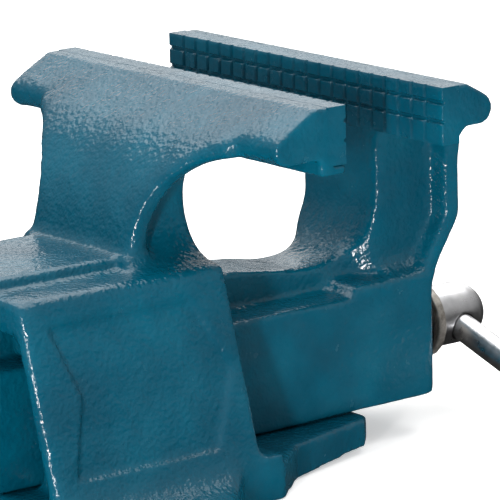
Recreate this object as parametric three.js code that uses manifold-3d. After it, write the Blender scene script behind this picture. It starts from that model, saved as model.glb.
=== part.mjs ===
// Bench vise with a fixed base, as an assembly of separate pieces.
//
// Millimetres, +Z up. The origin lies on the bench face, on the centre line, directly below the
// fixed jaw's gripping face. X runs along the jaws, -Y points to the operator and +Y to the back.
// The moving jaw is drawn at the opening given below.

import * as THREE from "three";
import { mergeVertices } from "three/addons/utils/BufferGeometryUtils.js";
import Module from "manifold-3d";

const wasm = await Module();
wasm.setup();

// ------------------------------------------------------------------ driving dimensions

// jaws
const jawWidth = 152.4;
const jawTop = 134;
const opening = 41;
const plateThickness = 5.5;
const plateHeight = 19.7;
const grooveWidth = 1.2;
const grooveDepth = 0.9;
const groovePitch = 7.08;
const grooveRowTop = 5.2;
const grooveRowMiddle = 6.6;
const fixedTopFlat = 12.9;
const fixedHeadDepth = 29.3;
const movingTopFlat = 11.6;
const movingHeadDepth = 22.3;
const headSlope = THREE.MathUtils.degToRad(30);
const fixedNoseRadius = 5;
const movingNoseRadius = 5.4;
const seatLedgeHeight = 3;
const seatLedgeDepth = 10.7;
const movingSeatFillet = 9;
const movingSeatDrop = 3;
const dowelDiameter = 8;
const dowelLength = 16;
const dowelInPlate = 3;
const dowelSpacing = 96;

// necks under the two heads: a wide flange at the back of each and a web towards the throat
const flangeThickness = 7.5;
const flangeInset = 0.7;
const webInset = 9;
const flareRadius = 25;
const webFlareRadius = 18;
const webFootRadius = 18;
const flangeFootRadius = 7;
const neckRootRadius = 3;
const headBlendRadius = 40;
const fixedNeckArcRadius = 54;
const fixedNeckBack = 55;
const fixedWebFront = 24.5;
const movingWebFront = 16.4;
const movingNeckFront = 48.5;
const movingNeckArcRadius = 24;
const movingNeckWaist = 76;

// body
const bodyLength = 84.5;
const bodyTopHalfWidth = 41.5;
const bodyFlare = 0.2915;
const bodyTop = 79;
const bodyWall = 7;
const panelDepth = 1.6;
const panelTopInset = 9;
const panelHeight = 49;
const panelWaistDrop = 23;
const panelWaist = 8;
const panelFrontInset = 9;
const panelRearInset = 10;
const anvilHeight = 4.5;
const anvilHalfWidth = 25;
const guideWall = 14;
const rearPocketDepth = 14;

// base
const baseThickness = 12.5;
const lugThickness = 9;
const tongueFront = 42;
const tongueFrontHalfWidth = 36;
const tongueRearHalfWidth = 46;
const tongueLift = 3;
const baseHalfWidth = 97;
const footHalfWidth = 61;
const footFront = 17;
const footHeight = 16;
const footFilletRadius = 14;
const lugFront = 34;
const lugEdgeSlope = 1.05;
const lugCornerCut = 12;
const lugOverhang = 4;
const tongueCornerCut = 4;
const boltHoleDiameter = 13;
const boltHoleOffsetX = 82;
const boltHoleFrontY = 72;
const boltHoleSpacingY = 28;

// beam and front block of the moving jaw
const beamHalfWidth = 30;
const beamShoulder = 54;
const beamTail = 190;
const ridgeHalfWidth = 14;
const ridgeTop = 67;
const ridgeDip = 4;
const ridgeDipLength = 30;
const channelSideGap = 2;
const beamRoof = 5;
const blockFront = 35;
const blockTop = 58;
const pocketEnd = 40;
const pocketRadius = 4;
const rampRadius = 22;
const blockWall = 16;
const bossWall = 5;
const bossLength = 8;

// screw, nut and handle
const screwHeight = 32;
const screwDiameter = 22;
const screwTip = 184;
const screwTipChamfer = 2;
const hubStep = 0.1;
const hubLength = 25.3;
const handleSetback = 10.5;
const handleTilt = THREE.MathUtils.degToRad(18.1);
const handleDiameter = 9.8;
const handleLength = 152;
const handleDrop = 4;
const knobDiameter = 16;
const knobLength = 13;
const knobEdge = 3;
const washerStep = 2.8;
const washerThickness = 3.6;
const springWire = 2.2;
const springTurns = 2;
const springSidesPerTurn = 20;
const springGap = 7.2;
const retainerWall = 3.5;
const retainerLength = 12;
const retainerPinDiameter = 5;
const nutLength = 40;
const nutCentreY = 58;
const nutWall = 5;
const nutHeadroom = 15;
const nutBoltDiameter = 10;
const nutBoltSpacing = 20;
const nutBoltHeadDiameter = 16;
const nutBoltHeadHeight = 6;
const nutBoltSocketWidth = 9;
const nutBoltSocketDepth = 3.5;
const nutBoltCover = 2;
const lockWasherThickness = 1.6;

// clearances
const gap = 0.3;
const slideGap = 0.5;
const turnGap = 0.4;

// how far the parts of one casting run into each other and the cuts run out of them
const overlap = 1;

// ------------------------------------------------------------------ materials

const paint = () => new THREE.MeshStandardMaterial({ color: 0x0f5872, roughness: 0.38, metalness: 0.0 });
const metal = (color, roughness) => new THREE.MeshStandardMaterial({ color, roughness, metalness: 0.9 });
const zincPlate = () => metal(0xb9b6b2, 0.32);
const rawSteel = () => metal(0x8d8880, 0.5);
const blackSteel = () => metal(0x2a2b2d, 0.5);
const bronze = () => metal(0xa8834a, 0.4);

// ------------------------------------------------------------------ solid helpers

// A closed three.js geometry as a manifold solid.
function solid(geometry) {
  const plain = geometry.index ? geometry.toNonIndexed() : geometry.clone();
  plain.deleteAttribute("normal");
  plain.deleteAttribute("uv");
  const merged = mergeVertices(plain, 1e-4);
  return new wasm.Manifold(new wasm.Mesh({
    numProp: 3,
    vertProperties: merged.attributes.position.array,
    triVerts: new Uint32Array(merged.index.array),
  }));
}

// A manifold solid as a named three.js mesh.
function meshOf(name, body, material) {
  const { vertProperties, triVerts } = body.getMesh();
  const geometry = new THREE.BufferGeometry();
  geometry.setAttribute("position", new THREE.BufferAttribute(vertProperties, 3));
  geometry.setIndex(new THREE.BufferAttribute(triVerts, 1));
  geometry.computeVertexNormals();
  const mesh = new THREE.Mesh(geometry, material);
  mesh.name = name;
  return mesh;
}

const joined = (...bodies) => bodies.reduce((whole, body) => whole.add(body));
const less = (body, ...cuts) => cuts.reduce((rest, cut) => rest.subtract(cut), body);

// Axes that a flat outline is laid on: outline x, outline y, direction of extrusion.
const sideAxes = [new THREE.Vector3(0, 1, 0), new THREE.Vector3(0, 0, 1), new THREE.Vector3(1, 0, 0)];
const frontAxes = [new THREE.Vector3(1, 0, 0), new THREE.Vector3(0, 0, 1), new THREE.Vector3(0, -1, 0)];

function extruded(shape, depth, axes, position) {
  const geometry = new THREE.ExtrudeGeometry(shape, { depth, bevelEnabled: false });
  if (axes) geometry.applyMatrix4(new THREE.Matrix4().makeBasis(...axes));
  geometry.translate(...position);
  return solid(geometry);
}

// Outline in (y, z), between two x values.
const acrossX = (shape, halfWidth) => extruded(shape, 2 * halfWidth, sideAxes, [-halfWidth, 0, 0]);

// Outline in (x, z), between two y values.
const alongY = (shape, yFrom, yTo) => extruded(shape, yTo - yFrom, frontAxes, [0, yTo, 0]);

// Outline in (x, y), between two z values.
const upZ = (shape, zFrom, zTo) => extruded(shape, zTo - zFrom, null, [0, 0, zFrom]);

const polygon = (...points) => new THREE.Shape(points.map(([u, v]) => new THREE.Vector2(u, v)));

function block([x0, x1], [y0, y1], [z0, z1]) {
  const geometry = new THREE.BoxGeometry(x1 - x0, y1 - y0, z1 - z0);
  geometry.translate((x0 + x1) / 2, (y0 + y1) / 2, (z0 + z1) / 2);
  return solid(geometry);
}

// Cylinder about a line parallel to Y.
function rodY(radius, yFrom, yTo, x, z, segments = 32) {
  const geometry = new THREE.CylinderGeometry(radius, radius, yTo - yFrom, segments);
  geometry.translate(x, (yFrom + yTo) / 2, z);
  return solid(geometry);
}

// Cylinder about a line parallel to Z.
function rodZ(radius, zFrom, zTo, x, y, segments = 24) {
  const geometry = new THREE.CylinderGeometry(radius, radius, zTo - zFrom, segments);
  geometry.rotateX(Math.PI / 2);
  geometry.translate(x, y, (zFrom + zTo) / 2);
  return solid(geometry);
}

// Solid of revolution about the screw's axis: profile points are (radius, y).
function turnedY(points) {
  const profile = points.map(([radius, y]) => new THREE.Vector2(radius, y));
  const geometry = new THREE.LatheGeometry(profile, 40);
  geometry.translate(0, 0, screwHeight);
  return solid(geometry);
}

// Outline mirrored about x = 0, from the points of its right half, bottom to top.
function mirrored(points) {
  const left = points.map(([x, v]) => [-x, v]).reverse();
  return polygon(...points, ...left);
}

// Points along an arc, ends included.
function arcPoints(centreU, centreV, radius, from, to, steps) {
  return Array.from({ length: steps + 1 }, (_, i) => {
    const angle = from + ((to - from) * i) / steps;
    return [centreU + radius * Math.cos(angle), centreV + radius * Math.sin(angle)];
  });
}

const quarter = Math.PI / 2;

// ------------------------------------------------------------------ derived places

const flangeHalfWidth = beamHalfWidth - flangeInset;
const webHalfWidth = beamHalfWidth - webInset;
const screwRadius = screwDiameter / 2;
const bossRadius = screwRadius + bossWall;
const hubRadius = screwRadius + hubStep;
const washerRadius = screwRadius + washerStep;
const retainerRadius = screwRadius + retainerWall;
const nutHalfWidth = screwRadius + nutWall;
const movingFace = -opening;
const plateBottom = jawTop - plateHeight;
const blockFrontY = movingFace - blockFront;
const headUnderside = (topFlat, depth, nose) =>
  noseCentre(topFlat, depth, nose)[1] - nose;
const bodyFront = fixedWebFront;
const bodyRear = bodyFront + bodyLength;
const beamBottom = baseThickness + slideGap;
const bossFront = blockFrontY - bossLength;
const washerBack = bossFront - springGap - gap;
const washerFront = washerBack - washerThickness;
const hubBack = washerFront - gap;
const hubFront = hubBack - hubLength;
const handleY = hubBack - handleSetback;
const cavityFront = blockFrontY + blockWall;
const bodyHalfWidthAt = (z) => bodyTopHalfWidth + bodyFlare * (bodyTop - z);

// Centre of the round nose at the back of a head, measured from its jaw face and top.
function noseCentre(topFlat, depth, nose) {
  const startDepth = depth - nose + nose * Math.sin(headSlope);
  const startZ = jawTop - (startDepth - topFlat) * Math.tan(headSlope);
  return [depth - nose, startZ - nose * Math.cos(headSlope)];
}

// ------------------------------------------------------------------ jaw heads and necks

// Side outline of a head in (distance behind its face, z), without the plate in front of it.
function headOutline(topFlat, depth, nose) {
  const [noseU, noseV] = noseCentre(topFlat, depth, nose);
  const seat = plateThickness + gap;
  return [
    [seat, jawTop],
    [seat, noseV - nose],
    ...arcPoints(noseU, noseV, nose, -quarter, quarter - headSlope, 8),
    [topFlat, jawTop],
  ];
}

// Height of the centre of a neck's arc that leaves the head's slope without a kink.
function neckBend(topFlat, neckBack, arcRadius) {
  const across = Math.sin(headSlope) * (topFlat - neckBack + arcRadius) - arcRadius;
  return jawTop + across / Math.cos(headSlope);
}

// Front outline of a neck: half width at the waist, flaring in an arc to the head above and in a
// smaller one to the casting below.
function neckOutline(waist, flare, foot, headZ, footZ, rootZ) {
  const lower = arcPoints(waist + foot, footZ + foot, foot, 3 * quarter, 2 * quarter, 6);
  const upper = arcPoints(waist + flare, headZ - flare, flare, 2 * quarter, quarter, 8);
  return mirrored([[waist + foot, rootZ], ...lower, ...upper, [waist + flare, jawTop]]);
}

// Plan outline that blends a neck into the back of its head, in (x, distance behind the face).
function blendOutline(headDepth, foot, end) {
  const centre = [flangeHalfWidth + headBlendRadius, headDepth + headBlendRadius];
  const last = 2 * quarter + Math.acos((headBlendRadius - foot) / headBlendRadius);
  const blend = arcPoints(...centre, headBlendRadius, 3 * quarter, last, 8);
  return mirrored([[centre[0], 0], ...blend, [flangeHalfWidth + foot, end]]);
}

// ------------------------------------------------------------------ fixed body

function fixedHead() {
  const outline = headOutline(fixedTopFlat, fixedHeadDepth, fixedNoseRadius);
  const head = acrossX(polygon(...outline), jawWidth / 2);
  const ledgeTop = plateBottom - gap;
  const ledge = block(
    [-jawWidth / 2, jawWidth / 2],
    [gap, seatLedgeDepth],
    [ledgeTop - seatLedgeHeight, ledgeTop],
  );
  const ledgeRoot = block(
    [-jawWidth / 2, jawWidth / 2],
    [plateThickness + gap, seatLedgeDepth],
    [ledgeTop - seatLedgeHeight, jawTop - fixedNoseRadius],
  );
  return joined(head, ledge, ledgeRoot);
}

// The neck's back follows one arc that leaves the head's slope and stands upright at the body,
// with a small fillet at its root on the anvil.
function fixedNeck() {
  const headZ = headUnderside(fixedTopFlat, fixedHeadDepth, fixedNoseRadius);
  const centreU = fixedNeckBack - fixedNeckArcRadius;
  const centreZ = neckBend(fixedTopFlat, fixedNeckBack, fixedNeckArcRadius);
  const sunk = bodyTop - overlap;
  const rootZ = bodyTop + anvilHeight + neckRootRadius;
  const rootAngle = Math.asin((rootZ - centreZ) / fixedNeckArcRadius);
  const rootU = centreU + fixedNeckArcRadius * Math.cos(rootAngle) + neckRootRadius;
  const slopeAngle = quarter - headSlope;
  const outer = arcPoints(centreU, centreZ, fixedNeckArcRadius, rootAngle, slopeAngle, 12);
  const inner = arcPoints(centreU, centreZ, fixedNeckArcRadius - flangeThickness, slopeAngle, 0, 12);
  const root = arcPoints(rootU, rootZ, neckRootRadius, 3 * quarter, 2 * quarter, 4);
  const flangeSide = polygon([rootU, sunk], ...root.slice(0, -1), ...outer, ...inner,
    [fixedNeckBack - flangeThickness, sunk]);
  const webSide = polygon([rootU - neckRootRadius, sunk], ...outer.map(([u, v]) => [u - overlap, v]),
    [fixedWebFront, headZ + fixedNoseRadius], [fixedWebFront, sunk]);
  const flangeFront = neckOutline(flangeHalfWidth, flareRadius, flangeFootRadius, headZ, bodyTop, sunk);
  const webFront = neckOutline(webHalfWidth, webFlareRadius, webFootRadius, headZ, bodyTop, sunk);
  const neckEnd = rootU + overlap;
  const plan = blendOutline(fixedHeadDepth, flangeFootRadius, neckEnd);
  const flange = acrossX(flangeSide, jawWidth / 2)
    .intersect(alongY(flangeFront, 0, neckEnd))
    .intersect(upZ(plan, sunk, jawTop));
  const web = acrossX(webSide, jawWidth / 2).intersect(alongY(webFront, 0, neckEnd));
  return joined(flange, web);
}

// Body with sloping flanks that stand upright at the foot, and the anvil on its top.
function saddle() {
  const footTop = bodyTop - (footHalfWidth - bodyTopHalfWidth) / bodyFlare;
  const outline = mirrored([[footHalfWidth, 0], [footHalfWidth, footTop], [bodyTopHalfWidth, bodyTop]]);
  const anvil = block([-anvilHalfWidth, anvilHalfWidth], [fixedNeckBack - flangeThickness, bodyRear],
    [bodyTop - overlap, bodyTop + anvilHeight]);
  return joined(alongY(outline, bodyFront, bodyRear), anvil);
}

// Shallow recessed panel on each flank: an outline in (y, z) whose two ends are waisted.
function flankPanels() {
  const top = bodyTop - panelTopInset;
  const bottom = top - panelHeight;
  const front = bodyFront + panelFrontInset;
  const rear = bodyRear - panelRearInset;
  const outline = polygon(
    [front + panelWaist, top],
    [front - panelWaist / 2, top - panelWaistDrop],
    [front + panelWaist, bottom],
    [rear, bottom],
    [rear - panelWaist, top - panelWaistDrop],
    [rear, top],
  );
  const cut = acrossX(outline, bodyHalfWidthAt(0) + overlap);
  const kept = alongY(
    mirrored([[bodyHalfWidthAt(0) - panelDepth, 0], [bodyTopHalfWidth - panelDepth, bodyTop]]),
    bodyFront, bodyRear);
  return cut.subtract(kept);
}

// Outline of the tunnel that the beam slides in, in (x, z).
function tunnelOutline() {
  const side = beamHalfWidth + slideGap;
  const ridge = ridgeHalfWidth + slideGap;
  return mirrored([
    [side, baseThickness],
    [side, beamShoulder + slideGap],
    [ridge, beamShoulder + slideGap],
    [ridge, ridgeTop + slideGap],
  ]);
}

// Cored hollow between the flank walls: wider than the tunnel, from one y to another.
function core(yFrom, yTo, ceiling) {
  const widthAt = (z) => bodyHalfWidthAt(z) - bodyWall;
  const outline = mirrored([[widthAt(baseThickness), baseThickness], [widthAt(ceiling), ceiling]]);
  return alongY(outline, yFrom, yTo);
}

// Front part of the base: a tapered tongue, its edges sweeping out to a foot before the body.
function tongue() {
  const outline = mirrored([
    [tongueFrontHalfWidth - tongueCornerCut, -tongueFront],
    [tongueFrontHalfWidth, -tongueFront + tongueCornerCut],
    [tongueRearHalfWidth, 0],
    [footHalfWidth, footFront],
    [footHalfWidth, bodyRear],
  ]);
  const lift = polygon([-tongueFront - overlap, -overlap], [-tongueFront - overlap, tongueLift],
    [0, 0], [0, -overlap]);
  const foot = block([-footHalfWidth, footHalfWidth], [footFront, bodyFront + overlap], [0, footHeight]);
  return joined(upZ(outline, 0, baseThickness), foot).subtract(acrossX(lift, baseHalfWidth));
}

// Front outline of the fillets between the flanks and the tops of the lugs.
function footFilletOutline() {
  const centreZ = lugThickness + footFilletRadius;
  const slope = Math.atan(bodyFlare);
  const centreX = bodyHalfWidthAt(centreZ) + footFilletRadius / Math.cos(slope);
  const arc = arcPoints(centreX, centreZ, footFilletRadius, 3 * quarter, 2 * quarter + slope, 7);
  return mirrored([[centreX, lugThickness - overlap], ...arc]);
}

// Bolt lugs at the sides, each with a swept front edge and a large fillet to the flank.
function lugs() {
  const lugRear = bodyRear + lugOverhang;
  const outline = mirrored([
    [footHalfWidth, lugFront],
    [baseHalfWidth, lugFront + (baseHalfWidth - footHalfWidth) * lugEdgeSlope],
    [baseHalfWidth, lugRear - lugCornerCut],
    [baseHalfWidth - lugCornerCut, lugRear],
  ]);
  const fillets = alongY(footFilletOutline(), lugFront, bodyRear).intersect(upZ(outline, 0, bodyTop));
  return joined(upZ(outline, 0, lugThickness), fillets);
}

function boltHoles() {
  const holes = [];
  for (const side of [-1, 1]) {
    for (const y of [boltHoleFrontY, boltHoleFrontY + boltHoleSpacingY]) {
      holes.push(rodZ(boltHoleDiameter / 2, -overlap, baseThickness + overlap, side * boltHoleOffsetX, y));
    }
  }
  return joined(...holes);
}

// Counterbored holes from below for the two bolts that hold the nut.
function nutBoltHoles() {
  const headRoom = nutBoltHeadHeight + lockWasherThickness + 3 * gap;
  return joined(...nutBoltPlaces().map((y) => joined(
    rodZ(nutBoltDiameter / 2 + turnGap, -overlap, baseThickness + overlap, 0, y),
    rodZ(nutBoltHeadDiameter / 2 + turnGap, -overlap, headRoom, 0, y),
  )));
}

function nutBoltPlaces() {
  return [nutCentreY - nutBoltSpacing / 2, nutCentreY + nutBoltSpacing / 2];
}

// Blind holes for the two dowels of a jaw plate, cut from a face at y towards a direction.
function dowelHoles(faceY, direction) {
  const from = faceY + direction * (plateThickness - dowelInPlate - gap);
  const to = from + direction * (dowelLength + 2 * gap);
  const holes = [-1, 1].map((side) => rodY(dowelDiameter / 2 + gap, Math.min(from, to), Math.max(from, to),
    side * dowelSpacing / 2, jawTop - plateHeight / 2, 20));
  return joined(...holes);
}

function fixedBody() {
  const casting = joined(fixedHead(), fixedNeck(), saddle(), tongue(), lugs());
  return less(casting,
    flankPanels(),
    boltHoles(),
    alongY(tunnelOutline(), -overlap, bodyRear + overlap),
    core(bodyRear - rearPocketDepth, bodyRear + overlap, ridgeTop),
    core(bodyFront + guideWall, bodyRear - rearPocketDepth - guideWall, ridgeTop),
    nutBoltHoles(),
    dowelHoles(0, 1),
  );
}

// ------------------------------------------------------------------ moving jaw

// Everything here is drawn as distances in front of the moving jaw's face, then turned over.
const infront = (points) => points.map(([u, v]) => [movingFace - u, v]).reverse();

function movingHead() {
  const outline = headOutline(movingTopFlat, movingHeadDepth, movingNoseRadius);
  const underside = headUnderside(movingTopFlat, movingHeadDepth, movingNoseRadius);
  const rootTop = underside + movingNoseRadius;
  const seatBack = plateThickness + overlap;
  const root = polygon(...infront([
    [plateThickness + gap, rootTop],
    [plateThickness + gap, plateBottom],
    [seatBack, plateBottom],
    ...arcPoints(seatBack + movingSeatFillet, plateBottom - movingSeatDrop, movingSeatFillet,
      2 * quarter - Math.asin(movingSeatDrop / movingSeatFillet), quarter, 5),
    [movingHeadDepth - movingNoseRadius, rootTop],
  ]));
  return joined(acrossX(polygon(...infront(outline)), jawWidth / 2), acrossX(root, jawWidth / 2));
}

// Front outline of the moving jaw's neck for the flange or the web: both spread to the beam's width
// at their foot.
function movingNeckOutline(waist, flare) {
  const headZ = headUnderside(movingTopFlat, movingHeadDepth, movingNoseRadius);
  return neckOutline(waist, flare, beamHalfWidth - waist, headZ, blockTop, beamShoulder);
}

function movingNeck() {
  const headZ = headUnderside(movingTopFlat, movingHeadDepth, movingNoseRadius);
  const centreU = movingNeckFront - movingNeckArcRadius;
  const centreZ = neckBend(movingTopFlat, movingNeckFront, movingNeckArcRadius);
  const sunk = beamShoulder;
  const slopeAngle = quarter - headSlope;
  const outer = arcPoints(centreU, centreZ, movingNeckArcRadius, 0, slopeAngle, 10);
  const inner = arcPoints(centreU, centreZ, movingNeckArcRadius - flangeThickness, slopeAngle, 0, 10);
  const flangeSide = polygon(...infront([
    [blockFront, sunk],
    [movingNeckFront, movingNeckWaist],
    ...outer,
    ...inner,
    [movingNeckFront - flangeThickness, movingNeckWaist],
    [blockFront - flangeThickness, sunk],
  ]));
  const webSide = polygon(...infront([
    [blockFront - overlap, sunk],
    [movingNeckFront - overlap, movingNeckWaist],
    ...outer.map(([u, v]) => [u - overlap, v]),
    [movingWebFront, headZ + movingNoseRadius],
    [movingWebFront, sunk],
  ]));
  const flangeFront = movingNeckOutline(flangeHalfWidth, flareRadius);
  const webFront = movingNeckOutline(webHalfWidth, webFlareRadius);
  const plan = blendOutline(movingHeadDepth, flangeInset, movingNeckFront + overlap);
  const yFront = movingFace - movingNeckFront - overlap;
  const planSolid = upZ(plan, sunk, jawTop).rotate([0, 0, 180]).translate([0, movingFace, 0]);
  const flange = acrossX(flangeSide, jawWidth / 2)
    .intersect(alongY(flangeFront, yFront, movingFace))
    .intersect(planSolid);
  const web = acrossX(webSide, jawWidth / 2).intersect(alongY(webFront, yFront, movingFace));
  return joined(flange, web);
}

// Side outline of the ridge on top of the beam: level at the back and dipping in the throat.
function ridgeOutline() {
  const root = beamShoulder - overlap;
  return polygon(
    [movingFace - movingWebFront, root],
    [beamTail, root],
    [beamTail, ridgeTop],
    [0, ridgeTop],
    [-ridgeDipLength, ridgeTop - ridgeDip],
    [movingFace - movingWebFront, ridgeTop - ridgeDip],
  );
}

// Side outline of the ramp that rises from the ridge to the web in one fillet.
function rampOutline() {
  const webY = movingFace - movingWebFront;
  const foot = ridgeTop - ridgeDip;
  const face = arcPoints(webY + rampRadius, foot + rampRadius, rampRadius, 3 * quarter, 2 * quarter, 7);
  return polygon([webY - overlap, beamShoulder], [webY + rampRadius, beamShoulder], ...face,
    [webY - overlap, foot + rampRadius]);
}

// The solid before the throat: a low block over the beam that ends in a rounded corner beside the
// ridge, and the ramp up to the web, which narrows to the ridge in a hollow sweep.
function frontMass() {
  const webY = movingFace - movingWebFront;
  const sweep = beamHalfWidth - ridgeHalfWidth;
  const corner = arcPoints(ridgeHalfWidth + pocketRadius, pocketRadius - pocketEnd, pocketRadius,
    3 * quarter, 2 * quarter, 6);
  const hollow = arcPoints(beamHalfWidth, webY + sweep, sweep, 3 * quarter, 2 * quarter, 8);
  const lowPlan = mirrored([[beamHalfWidth, blockFrontY], [beamHalfWidth, -pocketEnd], ...corner]);
  const rampPlan = mirrored([[beamHalfWidth, blockFrontY], ...hollow, [ridgeHalfWidth, 0]]);
  const low = upZ(lowPlan, beamBottom, blockTop);
  const web = alongY(movingNeckOutline(webHalfWidth, webFlareRadius), blockFrontY, 0);
  const ramp = acrossX(rampOutline(), beamHalfWidth).intersect(web);
  return joined(low, ramp.intersect(upZ(rampPlan, beamShoulder, jawTop)));
}

function beam() {
  const shaft = block([-beamHalfWidth, beamHalfWidth], [blockFrontY, beamTail], [beamBottom, beamShoulder]);
  const ridge = acrossX(ridgeOutline(), ridgeHalfWidth);
  const boss = rodY(bossRadius, bossFront, blockFrontY + overlap, 0, screwHeight);
  return joined(shaft, frontMass(), ridge, boss);
}

// The open-bottomed channel that leaves room for the screw, its nut and its retaining collar.
function beamChannel() {
  const half = nutHalfWidth + channelSideGap;
  return block([-half, half], [cavityFront, beamTail + overlap],
    [beamBottom - overlap, beamShoulder - beamRoof]);
}

function movingJaw() {
  const casting = joined(movingHead(), movingNeck(), beam());
  return less(casting,
    beamChannel(),
    rodY(screwRadius + turnGap, bossFront - overlap, cavityFront + overlap, 0, screwHeight),
    dowelHoles(movingFace, -1),
  );
}

// ------------------------------------------------------------------ jaw plates and dowels

// A plate with its gripping face at y = 0 and its back towards +Y, cut by a grid of grooves.
function jawPlate() {
  const plate = block([-jawWidth / 2, jawWidth / 2], [0, plateThickness], [plateBottom, jawTop]);
  const columns = Math.floor(jawWidth / groovePitch) - 1;
  const cuts = [];
  for (let i = 0; i < columns; i += 1) {
    const x = (i - (columns - 1) / 2) * groovePitch;
    cuts.push(block([x - grooveWidth / 2, x + grooveWidth / 2], [-overlap, grooveDepth],
      [plateBottom - overlap, jawTop + overlap]));
  }
  for (const depth of [grooveRowTop, grooveRowTop + grooveRowMiddle]) {
    const z = jawTop - depth;
    cuts.push(block([-jawWidth / 2 - overlap, jawWidth / 2 + overlap], [-overlap, grooveDepth],
      [z - grooveWidth / 2, z + grooveWidth / 2]));
  }
  return less(plate, joined(...cuts), dowelHoles(0, 1));
}

function dowel(side) {
  const from = plateThickness - dowelInPlate;
  return rodY(dowelDiameter / 2, from, from + dowelLength, side * dowelSpacing / 2,
    jawTop - plateHeight / 2, 20);
}

// Pieces drawn at the fixed jaw, turned half round about Z to face it from the moving jaw.
function facing(mesh) {
  mesh.rotation.z = Math.PI;
  mesh.position.y = movingFace;
  return mesh;
}

// ------------------------------------------------------------------ screw, nut and handle

// Screw and hub in one piece: a plain rod for the thread, and a domed hub bored for the handle.
function mainScrew() {
  const domeCentre = hubFront + hubRadius;
  const dome = arcPoints(0, domeCentre, hubRadius, -quarter, 0, 8);
  const profile = [
    [0, hubFront],
    ...dome.slice(1),
    [hubRadius, hubBack],
    [screwRadius, hubBack],
    [screwRadius, screwTip - screwTipChamfer],
    [screwRadius - screwTipChamfer, screwTip],
    [0, screwTip],
  ];
  const bore = alongHandle(handleDiameter / 2 + turnGap, -2 * hubRadius, 2 * hubRadius);
  return less(turnedY(profile), bore, retainerPinHole(turnGap));
}

// Cylinder along the handle's tilted line, between two distances from the screw's axis.
function alongHandle(radius, from, to) {
  const geometry = new THREE.CylinderGeometry(radius, radius, to - from, 28);
  geometry.rotateZ(-quarter);
  geometry.translate((from + to) / 2, 0, 0);
  geometry.rotateY(-handleTilt);
  geometry.translate(0, handleY, screwHeight);
  return solid(geometry);
}

function handleBar() {
  const half = (handleLength - knobLength) / 2;
  return alongHandle(handleDiameter / 2, -handleDrop - half, -handleDrop + half);
}

// Rounded knob with a blind bore for the bar's end; side is +1 or -1.
function handleKnob(side) {
  const radius = knobDiameter / 2;
  const neck = side * -handleDrop + handleLength / 2 - knobLength;
  const profile = [
    [0, 0],
    ...arcPoints(radius - knobEdge, knobEdge, knobEdge, -quarter, 0, 4),
    ...arcPoints(radius - knobEdge, knobLength - knobEdge, knobEdge, 0, quarter, 4),
    [0, knobLength],
  ].map(([r, y]) => new THREE.Vector2(r, y));
  const geometry = new THREE.LatheGeometry(profile, 28);
  geometry.rotateZ(-side * quarter);
  geometry.translate(side * neck, 0, 0);
  geometry.rotateY(-handleTilt);
  geometry.translate(0, handleY, screwHeight);
  const ends = [side * (neck - overlap), side * (neck + knobLength / 2 + gap)];
  const bore = alongHandle(handleDiameter / 2 + gap, Math.min(...ends), Math.max(...ends));
  return solid(geometry).subtract(bore);
}

function ringY(outer, inner, yFrom, yTo) {
  return rodY(outer, yFrom, yTo, 0, screwHeight)
    .subtract(rodY(inner, yFrom - overlap, yTo + overlap, 0, screwHeight));
}

function thrustWasher() {
  return ringY(washerRadius, screwRadius + turnGap, washerFront, washerBack);
}

// Coil spring between the boss and the thrust washer.
function frontSpring() {
  const meanRadius = screwRadius + turnGap + springWire / 2 + gap;
  const rise = springGap - springWire - 2 * gap;
  const start = washerBack + gap + springWire / 2;
  const steps = springTurns * springSidesPerTurn;
  const coil = new THREE.CatmullRomCurve3(Array.from({ length: steps + 1 }, (_, i) => {
    const angle = (i / springSidesPerTurn) * 4 * quarter;
    return new THREE.Vector3(meanRadius * Math.cos(angle), start + (rise * i) / steps,
      screwHeight + meanRadius * Math.sin(angle));
  }));
  const section = new THREE.Shape().absarc(0, 0, springWire / 2, 0, 4 * quarter, false);
  return solid(new THREE.ExtrudeGeometry(section, {
    steps, extrudePath: coil, bevelEnabled: false, curveSegments: 4,
  }));
}

const retainerFront = cavityFront + gap;

function retainingCollar() {
  return ringY(retainerRadius, screwRadius + gap, retainerFront, retainerFront + retainerLength)
    .subtract(retainerPinHole(gap));
}

function retainerPinHole(clearance) {
  const y = retainerFront + retainerLength / 2;
  return rodZ(retainerPinDiameter / 2 + clearance, screwHeight - retainerRadius - overlap,
    screwHeight + retainerRadius + overlap, 0, y, 16);
}

function retainerPin() {
  const y = retainerFront + retainerLength / 2;
  const half = Math.sqrt(retainerRadius ** 2 - (retainerPinDiameter / 2) ** 2) - gap;
  return rodZ(retainerPinDiameter / 2, screwHeight - half, screwHeight + half, 0, y, 16);
}

// Height of the nut bolts' tips, under the screw's bore.
const nutBoltTip = screwHeight - screwRadius - nutBoltCover;

// Nut block on the base, inside the beam's channel, held from below by two bolts.
function screwNut() {
  const yRange = [nutCentreY - nutLength / 2, nutCentreY + nutLength / 2];
  const body = block([-nutHalfWidth, nutHalfWidth], yRange,
    [baseThickness + gap, screwHeight + nutHeadroom]);
  const tapped = nutBoltPlaces().map((y) =>
    rodZ(nutBoltDiameter / 2 + gap, baseThickness, nutBoltTip + gap, 0, y, 20));
  return less(body,
    rodY(screwRadius + turnGap, yRange[0] - overlap, yRange[1] + overlap, 0, screwHeight),
    ...tapped);
}

// Socket-head bolt, head down in its counterbore.
function nutBolt(y) {
  const headTop = gap + nutBoltHeadHeight;
  const shank = rodZ(nutBoltDiameter / 2, headTop - overlap, nutBoltTip, 0, y, 20);
  const head = rodZ(nutBoltHeadDiameter / 2, gap, headTop, 0, y, 24);
  const socket = rodZ(nutBoltSocketWidth / 2, 0, gap + nutBoltSocketDepth, 0, y, 6);
  return joined(shank, head).subtract(socket);
}

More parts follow.
